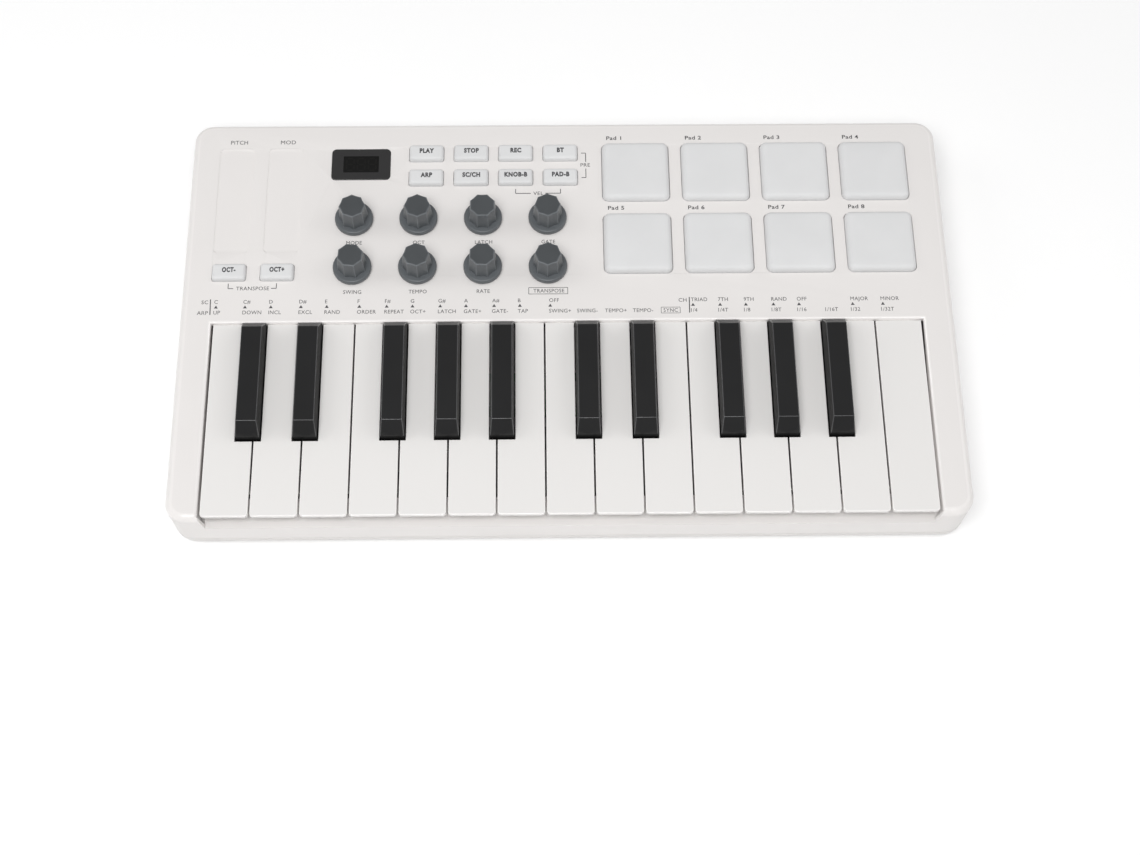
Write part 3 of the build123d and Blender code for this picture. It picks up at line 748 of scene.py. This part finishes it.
def knob_skirt(node, flange_z, stem_z):
    """The round skirt under a knob's stem, and its shaft, as one seed mesh about the origin."""
    low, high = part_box(node)
    reach = (high.x - low.x) / 2
    bore = 3.1 * MM
    profile = [(bore, flange_z), (reach - 0.3 * MM, flange_z), (reach, flange_z + 0.3 * MM)]
    profile += [(reach - inset, stem_z - drop) for inset, drop in quarter_round(0.8 * MM, 6)]
    profile += [(6.9 * MM, stem_z - 0.02 * MM), (bore, stem_z + 0.1 * MM)]
    bm = skin_rings([circle(radius, z, 96) for radius, z in profile])
    shaft = [circle(3.0 * MM, z, 32) for z in (low.z, flange_z + 0.2 * MM)]
    bm.from_mesh(mesh_of("knob_shaft", skin_rings(shaft)))
    bmesh.ops.recalc_face_normals(bm, faces=bm.faces)
    seed = mesh_of("knob_skirt", bm)
    # The skirt gets a painted highlight too, lighter where it catches the light.
    painted_light = seed.attributes.new("polish", "FLOAT", "POINT")
    painted_light.data.foreach_set("value", [SKIRT_PAINTED_LIGHT] * len(seed.vertices))
    return seed


class KEYBOARD_OT_knobs(bpy.types.Operator):
    """Grow the fluted knobs."""
    bl_idname = "keyboard.knobs"
    bl_label = "Knobs"

    def execute(self, context):
        settings = context.scene.keyboard_controls
        tree, names = knob_tree()
        flange_z = PANEL_TOP + 0.5 * MM
        stem_z = flange_z + 2.3 * MM
        for node, turn in zip(KNOB_NODES, KNOB_TURNS):
            middle = centre(node)
            seed = knob_skirt(node, flange_z, stem_z)
            values = {"Ridges": settings.ridges, "Foot Height": stem_z - 0.1 * MM,
                      "Top Height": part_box(node)[1].z, "Flute Depth": settings.flute_depth,
                      "Foot Radius": 6.45 * MM, "Top Radius": 5.7 * MM, "Turn": math.radians(turn)}
            piece = grown(node + "_cap", seed, tree, names, values, "slate_knob")
            piece.data.transform(Matrix.Translation((middle.x, middle.y, 0)))
            register_piece(piece, node)
        return {"FINISHED"}


class KEYBOARD_OT_pads(bpy.types.Operator):
    """Build the soft-edged silicone pads."""
    bl_idname = "keyboard.pads"
    bl_label = "Drum pads"

    def execute(self, context):
        settings = context.scene.keyboard_controls
        for node in PAD_NODES:
            cap = rimmed_cap(node, 1.6 * MM, 2.7 * MM, 4 * MM, 1.2 * MM, 8 * MM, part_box(node)[1].z,
                             settings.pad_round, settings.pad_crown)
            piece = object_from(node + "_silicone", cap, "pad_silicone", sharp=50)
            register_piece(piece, node)
        return {"FINISHED"}


class KEYBOARD_OT_buttons(bpy.types.Operator):
    """Build the push buttons and print their words."""
    bl_idname = "keyboard.buttons"
    bl_label = "Buttons"

    def execute(self, context):
        settings = context.scene.keyboard_controls
        for node, word in BUTTON_WORDS.items():
            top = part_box(node)[1].z
            cap = rimmed_cap(node, 1.2 * MM, 1.2 * MM, 1.5 * MM, MM, 1.7 * MM, top - 0.06 * MM,
                             settings.button_round, 0.05 * MM)
            piece = object_from(node + "_cap", cap, "pad_silicone", sharp=50)
            register_piece(piece, node)
            self.print_word(context, node, word, top)
        return {"FINISHED"}

    def print_word(self, context, node, word, top):
        legends = context.scene.keyboard_legends
        x, y, _ = centre(node)
        sheet = PrintSheet(top - 0.07 * MM, top)
        stretch = 0.70 if word.startswith("OCT") else 0.80
        sheet.word(word, x + 0.15 * MM, y + 0.65 * MM, legends.button_cap, stretch, bold=0.05,
                   spacing=1.14)
        piece = sheet.piece(node + "_word")
        register_piece(piece, node, hide=False)


class KEYBOARD_OT_display(bpy.types.Operator):
    """Build the smoked window, the lamp face behind it and its digits."""
    bl_idname = "keyboard.display"
    bl_label = "Display"

    def execute(self, context):
        low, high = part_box("display_window")
        x, y, _ = centre("display_window")
        half_w, half_d = (high.x - low.x) / 2, (high.y - low.y) / 2
        face_w, face_d = half_w * 0.60, half_d * 0.52
        top, corner, face_corner, gap = high.z, 2 * MM, 0.3 * MM, 0.02 * MM
        pocket, lamp = top - 0.25 * MM, top - 0.15 * MM
        rings = [rounded_ring(x, y, half_w, half_d, corner, low.z)]
        rings += [rounded_ring(x, y, half_w - inset, half_d - inset, corner - inset, top - drop)
                  for inset, drop in quarter_round(0.35 * MM, 4)]
        rings += [rounded_ring(x, y, face_w, face_d, face_corner, z) for z in (top, pocket)]
        window = object_from("display_window_pane", skin_rings(rings), "smoked_window")
        register_piece(window, "display_window")
        face = skin_rings([rounded_ring(x, y, face_w - gap, face_d - gap, face_corner, z)
                           for z in (pocket, lamp)])
        face = object_from("display_lamp_face", face, "led_face")
        register_piece(face, "display_window", hide=False)
        digits = self.digits(x, y, face_w, face_d, lamp)
        register_piece(digits, "display_window", hide=False)
        return {"FINISHED"}

    def digits(self, x, y, face_w, face_d, z):
        """Three unlit seven-bar digits."""
        bm = bmesh.new()
        tall, wide, bar = face_d * 1.45, face_w * 0.42, 0.55 * MM
        for number in (-1, 0, 1):
            middle = x + number * face_w * 0.62
            for row in (-1, 0, 1):
                add_bar(bm, middle - wide / 2 + bar, y + row * tall / 2, middle + wide / 2 - bar,
                        y + row * tall / 2, bar, z, 0.04 * MM)
            for side in (-1, 1):
                for row in (-1, 1):
                    add_bar(bm, middle + side * wide / 2, y + row * bar * 0.8, middle + side * wide / 2,
                            y + row * (tall / 2 - bar * 0.8), bar, z, 0.04 * MM)
        return object_from("display_digits", bm, "led_segment")


def add_bar(bm, x0, y0, x1, y1, width, z, height):
    """A thin flat bar between two points."""
    start, end = Vector((x0, y0, z)), Vector((x1, y1, z))
    along = (end - start).normalized() * width / 2
    across = Vector((-along.y, along.x, 0))
    up = Vector((0, 0, height))
    corners = [start - across, end - across, end + across, start + across]
    low = [bm.verts.new(c) for c in corners]
    high = [bm.verts.new(c + up) for c in corners]
    bm.faces.new(list(reversed(low)))
    bm.faces.new(high)
    for i in range(4):
        j = (i + 1) % 4
        bm.faces.new((low[i], low[j], high[j], high[i]))


# ---- printed legends ----------------------------------------------------
class PrintSheet:
    """Collects words and lines printed on one level, as one thin mesh."""

    def __init__(self, base, top):
        self.base = base
        self.top = top
        self.bm = bmesh.new()

    def word(self, text, x, y, cap, stretch=1.0, bold=0.0, align="middle", spacing=1.06):
        """Prints a word of that capital height, its middle line at y, its letters stretched sideways."""
        curve = bpy.data.curves.new("word", "FONT")
        curve.body = text
        curve.offset = bold
        curve.extrude = 0.01
        curve.space_character = spacing
        curve.resolution_u = 3
        writer = link("word", curve)
        bpy.context.view_layer.update()
        depsgraph = bpy.context.evaluated_depsgraph_get()
        mesh = bpy.data.meshes.new_from_object(writer.evaluated_get(depsgraph), depsgraph=depsgraph)
        bpy.data.objects.remove(writer)
        xs = [v.co.x for v in mesh.vertices]
        rise = LETTER_CAPITAL + 2 * bold
        wide = max(xs) - min(xs)
        scale_y = cap / rise
        scale_x = scale_y * stretch
        shift = {"middle": (min(xs) + max(xs)) / 2, "left": min(xs), "right": max(xs)}[align]
        thick = (self.top - self.base) / 0.02
        for v in mesh.vertices:
            v.co = ((v.co.x - shift) * scale_x + x, (v.co.y - rise / 2) * scale_y + y,
                    (v.co.z + 0.01) * thick + self.base)
        self.bm.from_mesh(mesh)
        bpy.data.meshes.remove(mesh)
        return wide * scale_x

    def line(self, x0, y0, x1, y1, width):
        add_bar(self.bm, x0, y0, x1, y1, width, self.base, self.top - self.base)

    def box(self, x0, y0, x1, y1, width):
        """A thin frame round a word."""
        for a, b, c, d in ((x0, y0, x1, y0), (x1, y0, x1, y1), (x1, y1, x0, y1), (x0, y1, x0, y0)):
            self.line(a, b, c, d, width)

    def piece(self, name):
        bmesh.ops.remove_doubles(self.bm, verts=self.bm.verts, dist=1e-7)
        return object_from(name, self.bm, "legend_ink")


KEY_UPPER_WORDS = ["C", "C#", "D", "D#", "E", "F", "F#", "G", "G#", "A", "A#", "B", "OFF", "", "", "", "",
                   "TRIAD", "7TH", "9TH", "RAND", "OFF", "", "MAJOR", "MINOR"]
KEY_LOWER_WORDS = ["UP", "DOWN", "INCL", "EXCL", "RAND", "ORDER", "REPEAT", "OCT+", "LATCH", "GATE+", "GATE-",
                   "TAP", "SWING+", "SWING-", "TEMPO+", "TEMPO-", "SYNC", "1/4", "1/4T", "1/8", "1/8T",
                   "1/16", "1/16T", "1/32", "1/32T"]
WORD_NUDGE = {"TEMPO+": 0.9, "SYNC": 2.1, "SWING+": 0.4}
LOWER_ROW = 5.0 * MM          # from the panel's front edge to the lower row of words
ROW_RISE = 5.1 * MM           # from there to the upper row
MARK_RISE = 2.45 * MM         # and to the marks between the rows
ROW_SLIP = 0.016 * MM         # how far the rows drop from one key to the next
KNOB_WORDS = ["MODE", "OCT", "LATCH", "GATE", "SWING", "TEMPO", "RATE", "TRANSPOSE"]


def key_left_edges():
    """Where each key starts along the panel's front edge."""
    edges = []
    last_black_end = None
    for node in KEY_NODES:
        low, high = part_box(node)
        start = low.x
        if node in WHITE_NODES and last_black_end is not None:
            start = max(start, last_black_end + 0.45 * MM)
        last_black_end = high.x if node in BLACK_NODES else None
        edges.append(start)
    return edges


class KEYBOARD_OT_legends(bpy.types.Operator):
    """Print the words, lines and marks on the panel."""
    bl_idname = "keyboard.legends"
    bl_label = "Legends"

    def execute(self, context):
        settings = context.scene.keyboard_legends
        self.cap = settings.small_cap
        self.bold = settings.bold_cap
        self.stroke = settings.stroke
        base = PANEL_TOP - 0.01 * MM
        self.sheet = PrintSheet(base, base + settings.thickness)
        self.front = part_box("key_c_1")[1].y - KEY_UNDER_PANEL
        self.key_rows()
        self.strip_and_octave_words()
        self.knob_words()
        self.bank_brackets()
        self.pad_words()
        piece = self.sheet.piece("panel_legends")
        register_piece(piece, "upper_case", hide=False)
        self.marks(settings)
        return {"FINISHED"}

    def text(self, word, x, y, stretch=1.0, cap=None, bold=0.0, align="middle"):
        return self.sheet.word(word, x, y, cap or self.cap, stretch, bold, align)

    def key_rows(self):
        """The two rows of words over the keys, with the frames and bars beside them."""
        self.points = []
        for number, left in enumerate(key_left_edges()):
            lower = KEY_LOWER_WORDS[number]
            upper = KEY_UPPER_WORDS[number]
            dark = KEY_NODES[number] in BLACK_NODES
            mark_x = left + ((0.25 if dark else 0.7) + 0.12 * number) * MM
            start = mark_x - 0.9 * MM + WORD_NUDGE.get(lower, 0.0) * MM
            row = self.front + LOWER_ROW - ROW_SLIP * number
            width = self.text(lower, start, row, 0.94, align="left")
            if upper:
                self.text(upper, start + 0.1 * MM, row + ROW_RISE, 0.94, align="left")
                self.points.append((mark_x, row + MARK_RISE))
            if lower == "SYNC":
                self.sheet.box(start - MM, row - 1.4 * MM, start + width + MM, row + 1.4 * MM,
                               self.stroke * 0.6)
        first, later = key_left_edges()[0], key_left_edges()[17]
        row = self.front + LOWER_ROW
        self.sheet.line(first - 1.6 * MM, row - 1.0 * MM, first - 1.8 * MM, row + 6.4 * MM, self.stroke * 1.3)
        self.text("SC", first - 2.7 * MM, row + 5.0 * MM, align="right")
        self.text("ARP", first - 2.5 * MM, row - 0.1 * MM, align="right")
        self.sheet.line(later + 1.2 * MM, row - 1.5 * MM, later + 1.3 * MM, row + 6.0 * MM, self.stroke * 1.3)
        self.text("CH", later + 0.1 * MM, row + 4.6 * MM, align="right")

    def strip_and_octave_words(self):
        down, up = centre("button_octave_down"), centre("button_octave_up")
        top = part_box("pad_1")[1].y + 0.6 * MM
        self.text("PITCH", down.x + 0.5 * MM, top, 0.96, self.bold)
        self.text("MOD", up.x + 1.6 * MM, top, 1.03, self.bold)
        y = down.y - 7.5 * MM
        self.text("TRANSPOSE", (down.x + up.x) / 2 + 0.2 * MM, y, 0.99)
        for x, way in ((down.x, 1), (up.x, -1)):
            self.sheet.line(x, y + 2.4 * MM, x, y, self.stroke)
            self.sheet.line(x, y, x + way * 2.2 * MM, y, self.stroke)

    def knob_words(self):
        for node, word in zip(KNOB_NODES, KNOB_WORDS):
            x, y, _ = centre(node)
            self.text(word, x + 0.25 * MM, y - 11.3 * MM, 0.93)
            if word == "TRANSPOSE":
                self.sheet.box(x - 8.3 * MM, y - 12.85 * MM, x + 8.3 * MM, y - 9.75 * MM, self.stroke * 0.7)

    def bank_brackets(self):
        """Lines that tie two buttons to their shared second use."""
        upper, lower, left = centre("button_bt"), centre("button_pad_bank"), centre("button_knob_bank")
        reach = upper.x + 9.3 * MM
        x = reach + 1.95 * MM
        middle = (upper.y + lower.y) / 2
        for y, way in ((upper.y + 0.2 * MM, -1), (lower.y + 0.05 * MM, 1)):
            self.sheet.line(reach, y, x, y, self.stroke)
            self.sheet.line(x, y, x, y + way * 4.6 * MM, self.stroke)
        self.text("PRE", x - 0.2 * MM, middle + 0.3 * MM, 1.05)
        y = lower.y - 7.9 * MM
        for x, way in ((left.x, 1), (lower.x, -1)):
            self.sheet.line(x, y + 2.2 * MM, x, y, self.stroke)
            self.sheet.line(x, y, x + way * 6.6 * MM, y, self.stroke)
        self.text("VEL", (left.x + lower.x) / 2 + 0.1 * MM, y, 1.05)

    def pad_words(self):
        for number, node in enumerate(PAD_NODES):
            low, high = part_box(node)
            self.text(f"Pad {number + 1}", low.x + 3.7 * MM, high.y + 1.95 * MM, 1.18, self.bold, 0.015,
                      "left")

    def marks(self, settings):
        seed = bpy.data.meshes.new("marks_seed")
        level = PANEL_TOP + 0.015 * MM
        seed.from_pydata([(x, y, level) for x, y in self.points], [], [])
        tree, names = marks_tree()
        sizes = {"Size": 0.95 * MM, "Thickness": settings.thickness}
        piece = grown("panel_marks", seed, tree, names, sizes, "legend_ink")
        register_piece(piece, "upper_case", hide=False)


# ---- studio -------------------------------------------------------------
def aim(location, target):
    """A matrix that looks from one point to another."""
    direction = Vector(target) - Vector(location)
    return Matrix.Translation(location) @ direction.to_track_quat("-Z", "Y").to_matrix().to_4x4()


def softbox(name, location, size, power, target=(0, 0, 0)):
    light = bpy.data.lights.new(name, "AREA")
    light.shape = "RECTANGLE"
    light.size, light.size_y = size
    light.energy = power
    link(name, light).matrix_world = aim(location, target)


class KEYBOARD_OT_studio(bpy.types.Operator):
    """Set up the floor, the soft lights and the camera."""
    bl_idname = "keyboard.studio"
    bl_label = "Studio"

    def execute(self, context):
        settings = context.scene.keyboard_studio
        self.floor(settings)
        self.lights(context, settings)
        self.camera(context, settings)
        return {"FINISHED"}

    def floor(self, settings):
        bm = bmesh.new()
        bmesh.ops.create_grid(bm, x_segments=8, y_segments=8, size=4.0)
        bmesh.ops.translate(bm, verts=bm.verts, vec=(0, 0, -0.00005))
        mesh = mesh_of("studio_floor", bm)
        material, tree, shader = start_material("floor_paper")
        drift = spread(tree, noise(tree, 3.0), 0, 1)
        wire(shader, Base_Color=two_tone(tree, drift, toned(settings.floor, 0.985), settings.floor),
             Roughness=0.8, Specular_IOR_Level=0.1, Emission_Color=(1, 1, 1, 1),
             Emission_Strength=settings.glow)
        mesh.materials.append(material)
        link("studio_floor", mesh)

    def lights(self, context, settings):
        world = bpy.data.worlds.new("studio_sky")
        world.use_nodes = True
        wire(world.node_tree.nodes["Background"], Color=(1, 1, 1, 1), Strength=settings.sky)
        context.scene.world = world
        softbox("front_softbox", (-0.15, -0.55, 1.25), (0.9, 0.6), settings.front_light)
        softbox("left_softbox", (-1.2, 0.2, 0.9), (0.8, 0.8), settings.side_light)
        softbox("right_softbox", (1.2, 0.2, 0.9), (0.8, 0.8), settings.side_light)
        context.scene.view_settings.view_transform = "Standard"

    def camera(self, context, settings):
        camera = bpy.data.cameras.new("camera")
        camera.lens = settings.lens
        camera.sensor_width = 36.0
        camera.clip_start = 0.01
        holder = link("camera", camera)
        roll, tip, pan = (math.radians(angle) for angle in (-0.96, 24.9188, -0.8583))
        turn = Matrix.Rotation(roll, 4, "Y") @ Matrix.Rotation(tip, 4, "X") @ Matrix.Rotation(pan, 4, "Z")
        holder.matrix_world = Matrix.Translation((-0.0117, -0.3820, 0.7311)) @ turn
        context.scene.camera = holder


# ---- add-on -------------------------------------------------------------
OPERATORS = (KEYBOARD_OT_shells, KEYBOARD_OT_works, KEYBOARD_OT_white_keys, KEYBOARD_OT_black_keys,
             KEYBOARD_OT_knobs, KEYBOARD_OT_pads, KEYBOARD_OT_buttons, KEYBOARD_OT_display,
             KEYBOARD_OT_legends, KEYBOARD_OT_studio)


class KEYBOARD_PT_panel(bpy.types.Panel):
    """Lists the steps and their settings in the sidebar."""
    bl_label = "Keyboard"
    bl_idname = "KEYBOARD_PT_panel"
    bl_space_type = "VIEW_3D"
    bl_region_type = "UI"
    bl_category = "Keyboard"

    def draw(self, context):
        for operator in OPERATORS:
            self.layout.operator(operator.bl_idname)
        for group, kind in GROUPS.items():
            settings = getattr(context.scene, group)
            for name in kind.__annotations__:
                self.layout.prop(settings, name)


def register():
    for kind in (*GROUPS.values(), *OPERATORS, KEYBOARD_PT_panel):
        bpy.utils.register_class(kind)
    for group, kind in GROUPS.items():
        setattr(bpy.types.Scene, group, PointerProperty(type=kind))


def unregister():
    for group in GROUPS:
        delattr(bpy.types.Scene, group)
    for kind in (KEYBOARD_PT_panel, *OPERATORS, *GROUPS.values()):
        bpy.utils.unregister_class(kind)


def main():
    register()
    bpy.ops.keyboard.shells()
    bpy.ops.keyboard.works()
    bpy.ops.keyboard.white_keys()
    bpy.ops.keyboard.black_keys()
    bpy.ops.keyboard.knobs()
    bpy.ops.keyboard.pads()
    bpy.ops.keyboard.buttons()
    bpy.ops.keyboard.display()
    bpy.ops.keyboard.legends()
    bpy.ops.keyboard.studio()


if __name__ == "__main__":
    main()
